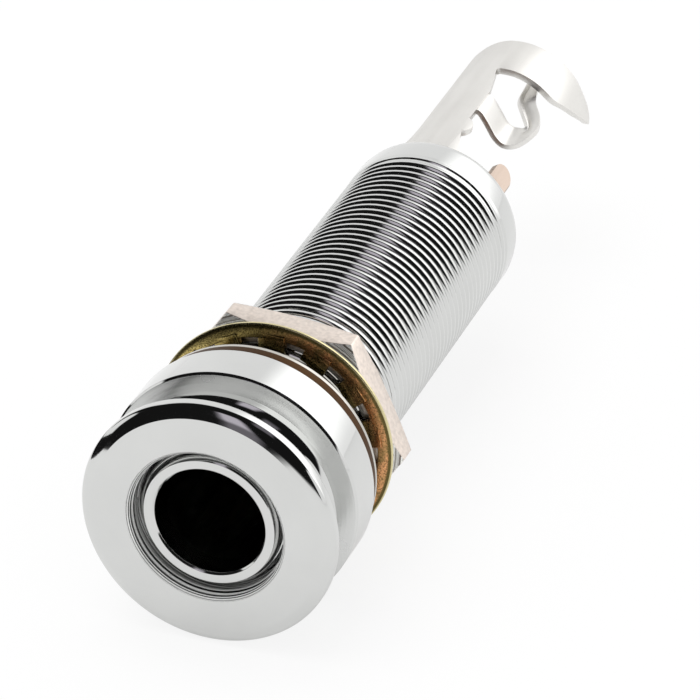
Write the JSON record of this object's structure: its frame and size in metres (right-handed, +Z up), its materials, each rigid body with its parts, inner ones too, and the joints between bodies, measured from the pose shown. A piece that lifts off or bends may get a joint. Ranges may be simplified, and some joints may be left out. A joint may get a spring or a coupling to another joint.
{
  "type": "quarter inch phone jack",
  "caption": "Long barrel phone jack: strap button with plug hole, washers and hex nut on a fine thread, inner contact springs, solder lugs and a cable clamp at the rear.",
  "frame": {"origin": "centre of the plug bore's mouth", "axes": "+Y along the jack's axis, the way the plug goes in; +Z up; the strap button faces -Y"},
  "size_m": [0.0164, 0.0593, 0.0164],
  "materials": {
    "chrome": "mirror chrome plate on turned brass",
    "nickel": "bright nickel plate",
    "yellow_zinc": "yellow passivated zinc plate with a rainbow tint",
    "satin_nickel": "satin nickel plate with turned chamfers",
    "tin_plate": "satin tin plate",
    "lug_plate": "thin tin plate over brass",
    "spring_metal": "rolled nickel silver",
    "phenolic": "punched phenolic paper sheet",
    "clear_plastic": "extruded tube, matt"
  },
  "bodies": {
    "barrel": {"barrel": "chrome", "liner": "clear_plastic", "front_insulator": "phenolic", "ring_terminal": "lug_plate", "middle_insulator": "phenolic", "tip_terminal": "lug_plate", "rear_insulator": "phenolic", "sleeve_terminal": "tin_plate"},
    "lock_washer": {"lock_washer": "yellow_zinc"},
    "hex_nut": {"hex_nut": "satin_nickel"},
    "flat_washer": {"flat_washer": "nickel"},
    "strap_button": {"strap_button": "chrome"},
    "ring_spring": {"ring_spring": "spring_metal"},
    "tip_spring": {"tip_spring": "spring_metal"}
  },
  "joints": [
    {"name": "nut_travel", "type": "slide", "parent": "barrel", "child": "lock_washer", "axis": [0, 1, 0], "range_m": [-0.0015, 0.022]},
    {"name": "nut_spin", "type": "hinge", "parent": "lock_washer", "child": "hex_nut", "pos_m": [0, 0.0123, 0], "axis": [0, 1, 0], "range_deg": [-767, 11227]},
    {"name": "button_travel", "type": "slide", "parent": "barrel", "child": "flat_washer", "axis": [0, -1, 0], "range_m": [0, 0.007]},
    {"name": "button_spin", "type": "hinge", "parent": "flat_washer", "child": "strap_button", "pos_m": [0, 0.003, 0], "axis": [0, -1, 0], "range_deg": [0, 3176]},
    {"name": "ring_flex", "type": "hinge", "parent": "barrel", "child": "ring_spring", "pos_m": [0.00325, 0.03433, -0.00187], "axis": [0.5, 0, 0.866], "range_deg": [0, 3], "stiffness_Nm_per_rad": 0.5},
    {"name": "tip_flex", "type": "hinge", "parent": "barrel", "child": "tip_spring", "pos_m": [-0.00325, 0.03633, 0.00187], "axis": [-0.5, 0, -0.866], "range_deg": [0, 4], "stiffness_Nm_per_rad": 0.5}
  ],
  "couplings": [
    {"joint": "nut_spin", "follows": "nut_travel", "rad_per_m": 8905.3},
    {"joint": "button_spin", "follows": "button_travel", "rad_per_m": 7915.8}
  ]
}
